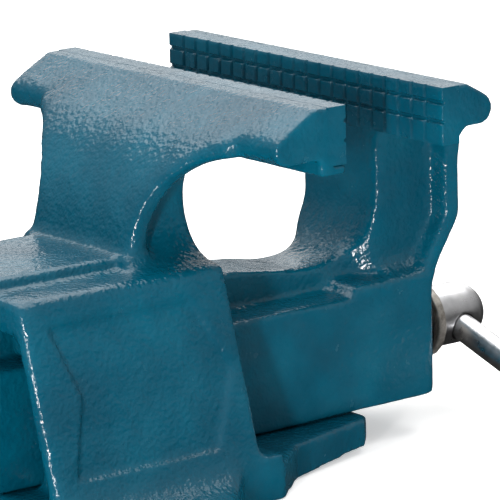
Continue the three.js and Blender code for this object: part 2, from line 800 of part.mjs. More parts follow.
function lockWasher(y) {
  const bottom = nutBoltHeadHeight + 2 * gap;
  const top = bottom + lockWasherThickness;
  return rodZ(nutBoltHeadDiameter / 2, bottom, top, 0, y, 24)
    .subtract(rodZ(nutBoltDiameter / 2 + gap, bottom - overlap, top + overlap, 0, y, 20));
}

// ------------------------------------------------------------------ assembly

const vise = new THREE.Group();

const fixedSide = new THREE.Group();
fixedSide.add(meshOf("fixed_body", fixedBody(), paint()));
fixedSide.add(meshOf("fixed_jaw_plate", jawPlate(), paint()));
fixedSide.add(meshOf("fixed_dowel_left", dowel(-1), blackSteel()));
fixedSide.add(meshOf("fixed_dowel_right", dowel(1), blackSteel()));
fixedSide.add(meshOf("screw_nut", screwNut(), bronze()));
nutBoltPlaces().forEach((y, i) => {
  const end = i === 0 ? "front" : "rear";
  fixedSide.add(meshOf(`nut_bolt_${end}`, nutBolt(y), blackSteel()));
  fixedSide.add(meshOf(`nut_lock_washer_${end}`, lockWasher(y), blackSteel()));
});
vise.add(fixedSide);

const movingSide = new THREE.Group();
movingSide.add(meshOf("moving_jaw", movingJaw(), paint()));
movingSide.add(facing(meshOf("moving_jaw_plate", jawPlate(), paint())));
movingSide.add(facing(meshOf("moving_dowel_left", dowel(1), blackSteel())));
movingSide.add(facing(meshOf("moving_dowel_right", dowel(-1), blackSteel())));
vise.add(movingSide);

const screwGroup = new THREE.Group();
screwGroup.add(meshOf("main_screw", mainScrew(), zincPlate()));
screwGroup.add(meshOf("thrust_washer", thrustWasher(), rawSteel()));
screwGroup.add(meshOf("front_spring", frontSpring(), blackSteel()));
screwGroup.add(meshOf("retaining_collar", retainingCollar(), rawSteel()));
screwGroup.add(meshOf("retaining_pin", retainerPin(), blackSteel()));
vise.add(screwGroup);

const handleGroup = new THREE.Group();
handleGroup.add(meshOf("handle_bar", handleBar(), zincPlate()));
handleGroup.add(meshOf("handle_knob_left", handleKnob(-1), zincPlate()));
handleGroup.add(meshOf("handle_knob_right", handleKnob(1), zincPlate()));
vise.add(handleGroup);

export default vise;
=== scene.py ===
"""Bench vise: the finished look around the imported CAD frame.

Metres, in the row's frame: +Z up, -Y towards the operator and the handle, X along the jaws.
The two castings and the jaw plates are remade from their CAD solids as one soft, painted skin each;
the screw, bar, knobs, washer and spring are turned or swept afresh at the CAD sizes.
"""

import math

import bmesh
import bpy
import numpy as np
from mathutils import Matrix, Vector


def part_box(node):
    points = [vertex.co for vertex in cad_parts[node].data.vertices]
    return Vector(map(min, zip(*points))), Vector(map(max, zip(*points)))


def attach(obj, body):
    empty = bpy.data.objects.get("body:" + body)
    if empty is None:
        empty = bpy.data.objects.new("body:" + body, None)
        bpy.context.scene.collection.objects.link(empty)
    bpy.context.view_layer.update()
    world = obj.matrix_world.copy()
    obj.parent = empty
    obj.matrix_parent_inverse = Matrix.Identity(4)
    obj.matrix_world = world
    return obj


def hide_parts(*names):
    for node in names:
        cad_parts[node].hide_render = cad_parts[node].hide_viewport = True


MM = 0.001

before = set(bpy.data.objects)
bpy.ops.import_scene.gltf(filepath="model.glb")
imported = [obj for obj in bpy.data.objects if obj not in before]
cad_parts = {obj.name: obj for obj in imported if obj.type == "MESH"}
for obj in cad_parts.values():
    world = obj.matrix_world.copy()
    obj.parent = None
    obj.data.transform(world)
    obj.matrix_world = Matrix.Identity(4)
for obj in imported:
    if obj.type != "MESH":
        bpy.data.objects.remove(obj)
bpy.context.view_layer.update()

# ---------------------------------------------------------------- camera, in metres and degrees

CAMERA_AIM = (-0.0191, -0.0028, 0.0753)
CAMERA_DISTANCE = 1.3642
CAMERA_AZIMUTH = 232.54
CAMERA_ELEVATION = 12.94
CAMERA_ROLL = -1.39
CAMERA_LENS = 288.0
CAMERA_SENSOR = 36.0

# ---------------------------------------------------------------- surroundings

FLOOR_HALF = 6.0
FLOOR_COLOUR = (0.93, 0.92, 0.91)
FLOOR_GLOW = 0.42
LIGHT_AIM = (0.0, 0.0, 0.07)
# Each light's name, azimuth, elevation, distance, width and height, and power.
LIGHTS = [
    ("top", 60, 74, 1.8, (2.4, 2.4), 52),
    ("edge", 217, 3, 1.6, (0.08, 0.5), 24),
    ("back", 52, 20, 2.4, (2.4, 1.1), 11),
]
# Positions from straight down to straight up, with the brightness there.
SKY_STOPS = [(0.0, 0.02), (0.49, 0.04), (0.56, 0.22), (0.72, 0.5), (0.85, 0.6), (1.0, 0.7)]

# ---------------------------------------------------------------- castings

CAST_VOXEL = 0.9 * MM
CAST_FACES = 190000
CAST_STEPS = 30
ANVIL_STEPS = 12
CORNER_STEPS = 70
BEAM_STEPS = 10
MACHINED_STEPS = 2
PANEL_STEPS = 3
BASE_STEPS = 4
SMOOTH_SHARE = 0.5
WELD = 0.001 * MM
COAT_STEP = 0.05 * MM
LUMP_HEIGHT = 0.16 * MM
LUMP_LENGTH = 9.0 * MM
PEBBLE_HEIGHT = 0.05 * MM
PEBBLE_LENGTH = 3.2 * MM
LUMP_SEED = 11
PEBBLE_SEED = 12
NOISE_GRID = 32
NOISE_OFFSET = 1000.0

# ---------------------------------------------------------------- zones of the castings

HEAD_BELOW_PLATE = 4 * MM
HEAD_COAT_BELOW_PLATE = 8 * MM
CRISP_TOP = 1.5 * MM
CRISP_END = 3 * MM
CRISP_FIXED_FACE = 14 * MM
CRISP_MOVING_FACE = 4 * MM
QUIET_TOP = (1.0 * MM, 0.2 * MM)
ANVIL_BAND = (1 * MM, 8 * MM)
FLANK_BELOW_TOP = 6 * MM
FLANK_ABOVE_FOOT = 3 * MM
FLANK_SPAN = (30 * MM, 101 * MM)
FLANK_HALF = 36 * MM
CORNER_REAR = 103 * MM
CORNER_ABOVE_LUG = 6 * MM
TONGUE_REAR = 24 * MM
TONGUE_HALF = 30 * MM
LUG_INNER_HALF = 70 * MM
LUG_ABOVE = 0.5 * MM
UNDERSIDE_FADE = (0.5 * MM, 4 * MM)
BEAM_FADE_Y = (-34 * MM, -16 * MM)
BEAM_FADE_Z = (70 * MM, 78 * MM)

# ---------------------------------------------------------------- serrated jaw plates

GROOVE_PITCH = 7.08 * MM
GROOVE_WIDTH = 1.2 * MM
GROOVE_DEPTH = 0.9 * MM
GROOVE_LIP = 0.28 * MM
GROOVE_ROWS = (5.2 * MM, 11.8 * MM)
PLATE_EDGE = 0.35 * MM
PLATE_SEAT = 2.0 * MM
PLATE_WAVE = 0.06 * MM
PLATE_WAVE_LENGTH = 2.6 * MM
PLATE_WAVE_SEED = 31
PLATE_LAND = 1.4 * MM
PLATE_EDGE_SLOPE = 0.8
PLATE_SMOOTH_ANGLE = math.radians(50)

# ---------------------------------------------------------------- screw and handle

THREAD_PITCH = 6.0 * MM
THREAD_DEPTH = 2.4 * MM
THREAD_ROOT_SHARE = 0.42
THREAD_FLANK_SHARE = 0.10
THREAD_ROW = 0.5 * MM
THREAD_SIDES = 48
TURNED_SIDES = 96
TURNED_SMOOTH_ANGLE = math.radians(35)
THREAD_FADE = 1.2
SHANK_RADIUS = 11.0 * MM
HUB_EDGE = 0.8 * MM
HUB_GAP = 0.3 * MM
HUB_VOXEL = 0.4 * MM
HUB_STEPS = 3.0
SHANK_LAP = 2 * MM
BORE_GAP = 0.4 * MM
BORE_HALF_LENGTH = 20 * MM
BAR_EDGE = 0.6 * MM
KNOB_LENGTH = 13.0 * MM
KNOB_EDGE = 3.2 * MM
KNOB_CROWN = 0.25 * MM
WASHER_BORE = 11.4 * MM
WASHER_EDGE = 0.7 * MM
WASHER_RIM_GAP = 0.1 * MM
WASHER_SIDES = 160
WASHER_ROUGH = 0.12 * MM
WASHER_ROUGH_LENGTH = 1.6 * MM
WASHER_SEED = 21
SPRING_WIRE = 1.1 * MM
SPRING_TURNS = 2
HANDLE_TILT = math.radians(18.1)


# ================================================================ mesh helpers


def new_object(name, mesh):
    """A new object with the given mesh, linked into the scene."""
    obj = bpy.data.objects.new(name, mesh)
    bpy.context.scene.collection.objects.link(obj)
    return obj


def mesh_from(name, points, faces):
    """A mesh from lists of points and of faces."""
    mesh = bpy.data.meshes.new(name)
    mesh.from_pydata([tuple(p) for p in points], [], faces)
    mesh.update()
    return mesh


def shade_smooth(obj, angle=None):
    """Smooth shading all over, or only across edges flatter than an angle."""
    obj.data.shade_smooth()
    if angle is not None:
        obj.data.set_sharp_from_angle(angle=angle)


def apply_modifiers(obj):
    """Replaces the object's mesh by what its modifiers make of it."""
    graph = bpy.context.evaluated_depsgraph_get()
    made = bpy.data.meshes.new_from_object(obj.evaluated_get(graph))
    obj.modifiers.clear()
    old = obj.data
    obj.data = made
    bpy.data.meshes.remove(old)


def copy_of(node, name):
    """A new object with a welded copy of a CAD node's mesh."""
    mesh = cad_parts[node].data.copy()
    mesh.materials.clear()
    work = bmesh.new()
    work.from_mesh(mesh)
    bmesh.ops.remove_doubles(work, verts=work.verts, dist=WELD)
    work.to_mesh(mesh)
    work.free()
    return new_object(name, mesh)


def voxel_skin(obj, voxel):
    """Remeshes the object as one closed skin of small, even faces."""
    remesh = obj.modifiers.new("skin", "REMESH")
    remesh.mode = "VOXEL"
    remesh.voxel_size = voxel
    remesh.adaptivity = 0.0
    apply_modifiers(obj)


def points_of(mesh):
    """The mesh's points as an array, one row each."""
    points = np.empty(len(mesh.vertices) * 3)
    mesh.vertices.foreach_get("co", points)
    return points.reshape(-1, 3)


def set_points(mesh, points):
    """Moves the mesh's points to the rows of an array."""
    mesh.vertices.foreach_set("co", np.asarray(points, dtype=np.float32).ravel())
    mesh.update()


def normals_of(mesh):
    """The mesh's point normals as an array, one row each."""
    normals = np.empty(len(mesh.vertices) * 3, dtype=np.float32)
    mesh.vertex_normals.foreach_get("vector", normals)
    return normals.reshape(-1, 3).astype(float)


def smoothed(mesh, steps):
    """Moves each point towards the mean of its neighbours, as many times as its own entry in steps says."""
    points = points_of(mesh)
    edges = np.empty(len(mesh.edges) * 2, dtype=np.int64)
    mesh.edges.foreach_get("vertices", edges)
    first, second = edges.reshape(-1, 2).T
    ends = np.concatenate([first, second])
    others = np.concatenate([second, first])
    count = np.bincount(ends, minlength=len(points))
    for step in range(int(steps.max())):
        total = np.stack([
            np.bincount(ends, weights=points[others, axis], minlength=len(points)) for axis in range(3)
        ], axis=1)
        share = SMOOTH_SHARE * np.clip(steps - step, 0.0, 1.0)
        points += share[:, None] * (total / count[:, None] - points)
    set_points(mesh, points)


def value_noise(points, length, seed):
    """Smooth noise between -1 and 1 with features of about the given length."""
    grid = np.random.default_rng(seed).uniform(-1.0, 1.0, (NOISE_GRID,) * 3)
    scaled = points / length + NOISE_OFFSET
    base = np.floor(scaled).astype(int)
    part = scaled - base
    part = part * part * (3.0 - 2.0 * part)
    total = np.zeros(len(points))
    for corner in np.ndindex(2, 2, 2):
        index = tuple((base[:, axis] + corner[axis]) % NOISE_GRID for axis in range(3))
        weight = np.ones(len(points))
        for axis in range(3):
            weight *= part[:, axis] if corner[axis] else 1.0 - part[:, axis]
        total += weight * grid[index]
    return total


def clamp_to_node(mesh, node):
    """Keeps every point within a CAD node's box."""
    low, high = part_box(node)
    set_points(mesh, np.clip(points_of(mesh), np.array(low), np.array(high)))


def ramp(values, start, end):
    """0 below start, 1 above end, smooth between."""
    share = np.clip((values - start) / (end - start), 0.0, 1.0)
    return share * share * (3.0 - 2.0 * share)


# ================================================================ the castings


JAW_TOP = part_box("fixed_jaw_plate")[1].z
PLATE_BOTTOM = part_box("fixed_jaw_plate")[0].z
JAW_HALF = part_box("fixed_jaw_plate")[1].x
BODY_TOP = 79.0 * MM
NECK_REAR = 56.0 * MM
FOOT_TOP = 16.0 * MM
LUG_TOP = 9.0 * MM


def body_steps(points):
    """How soft each place of the fixed casting is."""
    x, y, z = points.T
    side = np.abs(x)
    steps = np.full(len(points), float(CAST_STEPS))
    anvil = (z > BODY_TOP + ANVIL_BAND[0]) & (z < BODY_TOP + ANVIL_BAND[1]) & (y > NECK_REAR)
    steps[anvil] = ANVIL_STEPS
    head = z > PLATE_BOTTOM - HEAD_BELOW_PLATE
    crisp = (z > JAW_TOP - CRISP_TOP) | (side > JAW_HALF - CRISP_END) | (y < CRISP_FIXED_FACE)
    steps[head & crisp] = MACHINED_STEPS
    flank = (z < BODY_TOP - FLANK_BELOW_TOP) & (z > FOOT_TOP + FLANK_ABOVE_FOOT)
    flank &= (y > FLANK_SPAN[0]) & (y < FLANK_SPAN[1]) & (side > FLANK_HALF)
    steps[flank] = PANEL_STEPS
    corner = (y > CORNER_REAR) & (side > FLANK_HALF) & (z > LUG_TOP + CORNER_ABOVE_LUG)
    steps[corner] = CORNER_STEPS
    low = z < FOOT_TOP
    steps[low & (y < TONGUE_REAR)] = BASE_STEPS
    steps[low & (side < TONGUE_HALF)] = BASE_STEPS
    steps[(z < LUG_TOP + LUG_ABOVE) & (side > LUG_INNER_HALF)] = BASE_STEPS
    above_underside = ramp(z, *UNDERSIDE_FADE)
    return BASE_STEPS + (steps - BASE_STEPS) * above_underside


def jaw_steps(points):
    """How soft each place of the moving casting is."""
    x, y, z = points.T
    steps = np.full(len(points), float(CAST_STEPS))
    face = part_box("moving_jaw_plate")[0].y
    head = z > PLATE_BOTTOM - HEAD_BELOW_PLATE
    crisp = (z > JAW_TOP - CRISP_TOP) | (np.abs(x) > JAW_HALF - CRISP_END) | (y > face - CRISP_MOVING_FACE)
    steps[head & crisp] = MACHINED_STEPS
    beam = ramp(y, *BEAM_FADE_Y) * (1.0 - ramp(z, *BEAM_FADE_Z))
    return steps + (BEAM_STEPS - steps) * beam


def cast_texture(mesh):
    """Low lumps and pebbles, as a sand casting under thick paint has them."""
    points = points_of(mesh)
    height = LUMP_HEIGHT * value_noise(points, LUMP_LENGTH, LUMP_SEED)
    height += PEBBLE_HEIGHT * value_noise(points, PEBBLE_LENGTH, PEBBLE_SEED)
    quiet = ramp(points[:, 2], JAW_TOP - QUIET_TOP[0], JAW_TOP - QUIET_TOP[1])
    height *= 1.0 - quiet
    set_points(mesh, points + normals_of(mesh) * height[:, None])


def thinned(obj, faces):
    """Collapses edges until the mesh has about this many triangles."""
    triangles = 2 * len(obj.data.polygons)
    if triangles > faces:
        thin = obj.modifiers.new("thin", "DECIMATE")
        thin.ratio = faces / triangles
        apply_modifiers(obj)


def clamp_casting(mesh, node):
    """Keeps a casting inside its CAD box, and a coat's thickness below its plate's faces."""
    low, high = (np.array(corner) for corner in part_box(node))
    points = np.clip(points_of(mesh), low, high)
    points[:, 2] = np.minimum(points[:, 2], JAW_TOP - COAT_STEP)
    head = points[:, 2] > PLATE_BOTTOM - HEAD_COAT_BELOW_PLATE
    limit = JAW_HALF - COAT_STEP
    points[head, 0] = np.clip(points[head, 0], -limit, limit)
    set_points(mesh, points)


def casting(node, name, body, steps_at, material):
    """One painted skin remade from a casting's CAD solid, as soft at each place as steps_at says."""
    obj = copy_of(node, name)
    voxel_skin(obj, CAST_VOXEL)
    smoothed(obj.data, steps_at(points_of(obj.data)))
    cast_texture(obj.data)
    thinned(obj, CAST_FACES)
    clamp_casting(obj.data, node)
    shade_smooth(obj)
    obj.data.materials.append(material)
    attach(obj, body)
    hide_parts(node)
    return obj


def groove_lines(centres, low, high, land):
    """Grid lines across a face: close together at each groove's two walls, spread over the lands."""
    half = GROOVE_WIDTH / 2
    lines = {low, low + PLATE_EDGE, high - PLATE_EDGE, high}
    for centre in centres:
        for side in (-1, 1):
            lines.update(centre + side * offset for offset in (half - GROOVE_LIP, half, half + GROOVE_LIP))
    ordered = sorted(lines)
    filled = []
    for start, end in zip(ordered, ordered[1:]):
        parts = max(1, round((end - start) / land))
        filled.extend(start + (end - start) * i / parts for i in range(parts))
    return np.array(filled + [high])


def groove_depth(places, centres):
    """Share of the groove's depth at each place: 1 on the groove's floor, 0 on a land."""
    distance = np.min(np.abs(places[:, None] - np.array(centres)[None, :]), axis=1)
    wall = (GROOVE_WIDTH / 2 + GROOVE_LIP - distance) / (2 * GROOVE_LIP)
    return np.clip(wall, 0.0, 1.0)


def painted_plate(node, name, body, direction, material):
    """Serrated jaw plate: its face turned along direction, its back sunk a little into the casting."""
    low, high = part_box(node)
    limit = JAW_HALF - COAT_STEP / 2
    top = high.z - COAT_STEP / 2
    columns = int(2 * JAW_HALF / GROOVE_PITCH) - 1
    across = [(i - (columns - 1) / 2) * GROOVE_PITCH for i in range(columns)]
    down = [high.z - row for row in GROOVE_ROWS]
    xs = groove_lines(across, -limit, limit, PLATE_LAND)
    zs = groove_lines(down, low.z, top, PLATE_LAND)
    depth = GROOVE_DEPTH * np.maximum(groove_depth(xs, across)[:, None], groove_depth(zs, down)[None, :])
    edge_x = np.minimum(xs + limit, limit - xs)
    edge_z = np.minimum(zs - low.z, top - zs)
    edge = np.minimum(edge_x[:, None], edge_z[None, :])
    depth += np.clip(PLATE_EDGE - edge, 0.0, None) * PLATE_EDGE_SLOPE
    grid = np.stack(np.meshgrid(xs, zs, indexing="ij"), axis=-1)
    level = np.zeros_like(grid[..., :1])
    flat = np.concatenate([grid[..., :1], level, grid[..., 1:]], axis=-1).reshape(-1, 3)
    wave = value_noise(flat, PLATE_WAVE_LENGTH, PLATE_WAVE_SEED).reshape(depth.shape)
    depth += PLATE_WAVE * (0.5 + 0.5 * wave)
    face_y = high.y if direction > 0 else low.y
    back_y = (low.y - PLATE_SEAT) if direction > 0 else (high.y + PLATE_SEAT)
    flat[:, 1] = face_y - direction * depth.ravel()
    count_x, count_z = len(xs), len(zs)
    index = np.arange(count_x * count_z).reshape(count_x, count_z)
    rim = np.concatenate([index[:, 0], index[-1, 1:], index[-2::-1, -1], index[0, -2:0:-1]])
    back = flat[rim].copy()
    back[:, 1] = back_y
    points = np.concatenate([flat, back])
    faces = [
        (index[i, j], index[i + 1, j], index[i + 1, j + 1], index[i, j + 1])
        for i in range(count_x - 1) for j in range(count_z - 1)
    ]
    first_back = len(flat)
    for i in range(len(rim)):
        after = (i + 1) % len(rim)
        faces.append((rim[after], rim[i], first_back + i, first_back + after))
    faces.append(tuple(first_back + i for i in reversed(range(len(rim)))))
    if direction > 0:
        faces = [tuple(reversed(face)) for face in faces]
    obj = new_object(name, mesh_from(name, points, [tuple(int(i) for i in face) for face in faces]))
    shade_smooth(obj, PLATE_SMOOTH_ANGLE)
    obj.data.materials.append(material)
    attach(obj, body)
    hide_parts(node)
    return obj


# ================================================================ turned pieces


def turned(name, profile, sides=TURNED_SIDES):
    """A solid of revolution about Z: the profile's (radius, z) points start and end on the axis."""
    points = [(0.0, 0.0, profile[0][1])]
    ring_count = len(profile) - 2
    for radius, z in profile[1:-1]:
        for i in range(sides):
            angle = 2 * math.pi * i / sides
            points.append((radius * math.cos(angle), radius * math.sin(angle), z))
    points.append((0.0, 0.0, profile[-1][1]))
    faces = []
    for i in range(sides):
        after = (i + 1) % sides
        faces.append((0, 1 + after, 1 + i))
        for ring in range(ring_count - 1):
            low = 1 + ring * sides
            faces.append((low + i, low + after, low + sides + after, low + sides + i))
        last = 1 + (ring_count - 1) * sides
        faces.append((last + i, last + after, len(points) - 1))
    return new_object(name, mesh_from(name, points, faces))


def arc(centre_r, centre_z, radius, start, end, count):
    """Profile points along an arc, its angles in degrees from the radial direction."""
    angles = np.linspace(math.radians(start), math.radians(end), count)
    return [(centre_r + radius * math.cos(a), centre_z + radius * math.sin(a)) for a in angles]


def place(obj, matrix):
    """Moves an object by moving its mesh's points, so that its own transform stays at rest."""
    obj.data.transform(matrix)
    obj.data.update()


SCREW_LOW, SCREW_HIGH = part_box("main_screw")
SCREW_Z = (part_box("thrust_washer")[0].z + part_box("thrust_washer")[1].z) / 2
HANDLE_Y = (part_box("handle_bar")[0].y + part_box("handle_bar")[1].y) / 2
BAR_RADIUS = (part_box("handle_bar")[1].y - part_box("handle_bar")[0].y) / 2
SCREW_ALONG_Y = Matrix.Translation((0, 0, SCREW_Z)) @ Matrix.Rotation(-math.pi / 2, 4, "X")
HANDLE_TURN = Matrix.Rotation(math.pi / 2 - HANDLE_TILT, 4, "Y")
HANDLE_ALONG = Matrix.Translation((0, HANDLE_Y, SCREW_Z)) @ HANDLE_TURN


def thread_radius(share, root, crest):
    """Radius of a trapezoidal thread at a share of its pitch."""
    flank = THREAD_FLANK_SHARE
    if share < THREAD_ROOT_SHARE:
        return root
    if share < THREAD_ROOT_SHARE + flank:
        return root + (crest - root) * (share - THREAD_ROOT_SHARE) / flank
    if share < 1.0 - flank:
        return crest
    return crest - (crest - root) * (share - (1.0 - flank)) / flank


def thread_surface(start, end, crest):
    """Closed threaded rod about Y from one y to another, with its thread fading out at both ends."""
    rows = int((end - start) / THREAD_ROW)
    root = crest - THREAD_DEPTH
    points = [(0.0, start, SCREW_Z)]
    for row in range(rows + 1):
        y = start + (end - start) * row / rows
        lead_in = min(1.0, (y - start) / THREAD_PITCH)
        lead_out = min(1.0, (end - y) / (THREAD_DEPTH * THREAD_FADE))
        for side in range(THREAD_SIDES):
            turn = side / THREAD_SIDES
            cut = thread_radius((y / THREAD_PITCH - turn) % 1.0, root, crest)
            radius = crest + (cut - crest) * lead_in
            radius = min(radius, root + (crest - root) * lead_out)
            angle = 2 * math.pi * turn
            points.append((radius * math.cos(angle), y, SCREW_Z + radius * math.sin(angle)))
    points.append((0.0, end, SCREW_Z))
    faces = []
    for side in range(THREAD_SIDES):
        after = (side + 1) % THREAD_SIDES
        faces.append((0, 1 + side, 1 + after))
        for row in range(rows):
            low = 1 + row * THREAD_SIDES
            faces.append((low + side, low + THREAD_SIDES + side, low + THREAD_SIDES + after, low + after))
        last = 1 + rows * THREAD_SIDES
        faces.append((last + side, len(points) - 1, last + after))
    return points, faces


def cut_by(obj, cutter):
    """Takes the cutter's volume out of the object and removes the cutter."""
    boolean = obj.modifiers.new("cut", "BOOLEAN")
    boolean.operation = "DIFFERENCE"
    boolean.solver = "EXACT"
    boolean.object = cutter
    apply_modifiers(obj)
    bpy.data.objects.remove(cutter)


def screw_piece(material):
    """Domed hub bored for the bar, plain shank through the block, then a real thread."""
    hub_front = SCREW_LOW.y
    hub_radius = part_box("main_screw")[1].x
    washer_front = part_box("thrust_washer")[0].y
    hub_back = washer_front - HUB_GAP
    collar_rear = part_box("retaining_collar")[1].y
    dome_centre = hub_front + hub_radius
    profile = [
        (0.0, hub_front),
        *arc(0.0, dome_centre, hub_radius, -88, 0, 20),
        *arc(hub_radius - HUB_EDGE, hub_back - HUB_EDGE, HUB_EDGE, 0, 90, 5),
        (SHANK_RADIUS, hub_back),
        (SHANK_RADIUS, collar_rear + SHANK_LAP),
        (0.0, collar_rear + SHANK_LAP),
    ]
    hub = turned("screw_and_hub", profile)
    place(hub, SCREW_ALONG_Y)
    bore_radius = BAR_RADIUS + BORE_GAP
    bore_profile = [
        (0, -BORE_HALF_LENGTH),
        (bore_radius, -BORE_HALF_LENGTH),
        (bore_radius, BORE_HALF_LENGTH),
        (0, BORE_HALF_LENGTH),
    ]
    bore = turned("bore", bore_profile, 64)
    place(bore, HANDLE_ALONG)
    cut_by(hub, bore)
    voxel_skin(hub, HUB_VOXEL)
    smoothed(hub.data, np.full(len(hub.data.vertices), HUB_STEPS))
    points, faces = thread_surface(collar_rear + SHANK_LAP / 2, SCREW_HIGH.y, SHANK_RADIUS)
    thread = new_object("thread", mesh_from("thread", points, faces))
    join(hub, [thread])
    clamp_to_node(hub.data, "main_screw")
    shade_smooth(hub, math.radians(40))
    hub.data.materials.append(material)
    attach(hub, "screw")
    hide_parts("main_screw")


def join(target, others):
    """Adds the other objects' meshes to the target's."""
    work = bmesh.new()
    work.from_mesh(target.data)
    for other in others:
        work.from_mesh(other.data)
        bpy.data.objects.remove(other)
    work.to_mesh(target.data)
    work.free()


def bar_piece(material):
    """Plain round bar with its ends eased, tilted as the handle rests."""
    low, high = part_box("handle_bar")
    middle = (low + high) / 2
    slope = math.cos(HANDLE_TILT)
    half = ((high.x - low.x) / 2 - BAR_RADIUS * math.sin(HANDLE_TILT)) / slope
    offset = middle.x / slope
    profile = [
        (0.0, offset - half),
        *arc(BAR_RADIUS - BAR_EDGE, offset - half + BAR_EDGE, BAR_EDGE, -90, 0, 4),
        *arc(BAR_RADIUS - BAR_EDGE, offset + half - BAR_EDGE, BAR_EDGE, 0, 90, 4),
        (0.0, offset + half),
    ]
    bar = turned("bar", profile)
    place(bar, HANDLE_ALONG)
    finish_turned(bar, "handle", "handle_bar", material)


def knob_piece(node, side, material):
    """Turned knob, slightly crowned, with rounded ends."""
    low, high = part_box(node)
    middle = (low + high) / 2
    radius = (high.y - low.y) / 2
    centre = middle.x / math.cos(HANDLE_TILT)
    start = centre - KNOB_LENGTH / 2
    end = centre + KNOB_LENGTH / 2
    barrel = KNOB_LENGTH - 2 * KNOB_EDGE
    side_points = [
        (radius - KNOB_CROWN * (2 * share - 1) ** 2, start + KNOB_EDGE + barrel * share)
        for share in np.linspace(0.0, 1.0, 7)
    ]
    edge_radius = radius - KNOB_CROWN - KNOB_EDGE
    profile = [
        (0.0, start),
        *arc(edge_radius, start + KNOB_EDGE, KNOB_EDGE, -90, 0, 8)[:-1],
        *side_points,
        *arc(edge_radius, end - KNOB_EDGE, KNOB_EDGE, 0, 90, 8)[1:],
        (0.0, end),
    ]
    knob = turned(f"knob_{side}", profile)
    place(knob, HANDLE_ALONG)
    finish_turned(knob, "handle", node, material)


def finish_turned(obj, body, node, material):
    """Fits a turned piece into its CAD node's box, shades it, hangs it on the body it rides and hides the
    CAD node it replaces.
    """
    clamp_to_node(obj.data, node)
    shade_smooth(obj, TURNED_SMOOTH_ANGLE)
    obj.data.materials.append(material)
    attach(obj, body)
    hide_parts(node)


def ring_profile_object(name, outer, inner, start, end, edge, sides=TURNED_SIDES):
    """Ring about Z with rounded outer edges."""
    section = [
        (inner, start),
        *arc(outer - edge, start + edge, edge, -90, 0, 5),
        *arc(outer - edge, end - edge, edge, 0, 90, 5),
        (inner, end),
    ]
    points = []
    for radius, z in section:
        for i in range(sides):
            angle = 2 * math.pi * i / sides
            points.append((radius * math.cos(angle), radius * math.sin(angle), z))
    faces = []
    rings = len(section)
    for ring in range(rings):
        low, high = ring * sides, ((ring + 1) % rings) * sides
        for i in range(sides):
            after = (i + 1) % sides
            faces.append((low + i, low + after, high + after, high + i))
    return new_object(name, mesh_from(name, points, faces))


def washer_piece(material):
    """Thrust washer with a rough, hammered rim."""
    low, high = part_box("thrust_washer")
    outer = (high.x - low.x) / 2
    rim = outer - WASHER_RIM_GAP
    washer = ring_profile_object("washer", rim, WASHER_BORE, low.y, high.y, WASHER_EDGE, WASHER_SIDES)
    place(washer, SCREW_ALONG_Y)
    points = points_of(washer.data)
    rough = WASHER_ROUGH * value_noise(points, WASHER_ROUGH_LENGTH, WASHER_SEED)
    set_points(washer.data, points + normals_of(washer.data) * rough[:, None])
    finish_turned(washer, "screw", "thrust_washer", material)


def spring_piece(material):
    """The CAD coil again, with a round wire."""
    low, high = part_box("front_spring")
    mean = (high.x - low.x) / 2 - SPRING_WIRE
    around, along = 16, 120
    start, end = low.y + SPRING_WIRE, high.y - SPRING_WIRE
    points = []
    for i in range(along + 1):
        share = i / along
        angle = 2 * math.pi * SPRING_TURNS * share
        out = Vector((math.cos(angle), 0, math.sin(angle)))
        centre = Vector((0, start + (end - start) * share, SCREW_Z)) + out * mean
        for j in range(around):
            turn = 2 * math.pi * j / around
            along_y = Vector((0, SPRING_WIRE * math.sin(turn), 0))
            points.append(centre + out * (SPRING_WIRE * math.cos(turn)) + along_y)
    faces = [tuple(range(around)), tuple(reversed(range(along * around, (along + 1) * around)))]
    for i in range(along):
        for j in range(around):
            after = (j + 1) % around
            near, far = i * around, (i + 1) * around
            faces.append((near + j, far + j, far + after, near + after))
    spring = new_object("spring", mesh_from("spring", points, faces))
    finish_turned(spring, "screw", "front_spring", material)


def bevelled(node, width, material):
    """Keeps a CAD node and softens its edges with modifiers."""
    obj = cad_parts[node]
    weld = obj.modifiers.new("weld", "WELD")
    weld.merge_threshold = WELD
    flat = obj.modifiers.new("flat", "DECIMATE")
    flat.decimate_type = "DISSOLVE"
    flat.angle_limit = math.radians(1.0)
    bevel = obj.modifiers.new("bevel", "BEVEL")
    bevel.width = width
    bevel.segments = 2
    bevel.limit_method = "ANGLE"
    bevel.angle_limit = math.radians(40)
    bevel.use_clamp_overlap = True
    obj.data.materials.clear()
    obj.data.materials.append(material)


# ================================================================ materials


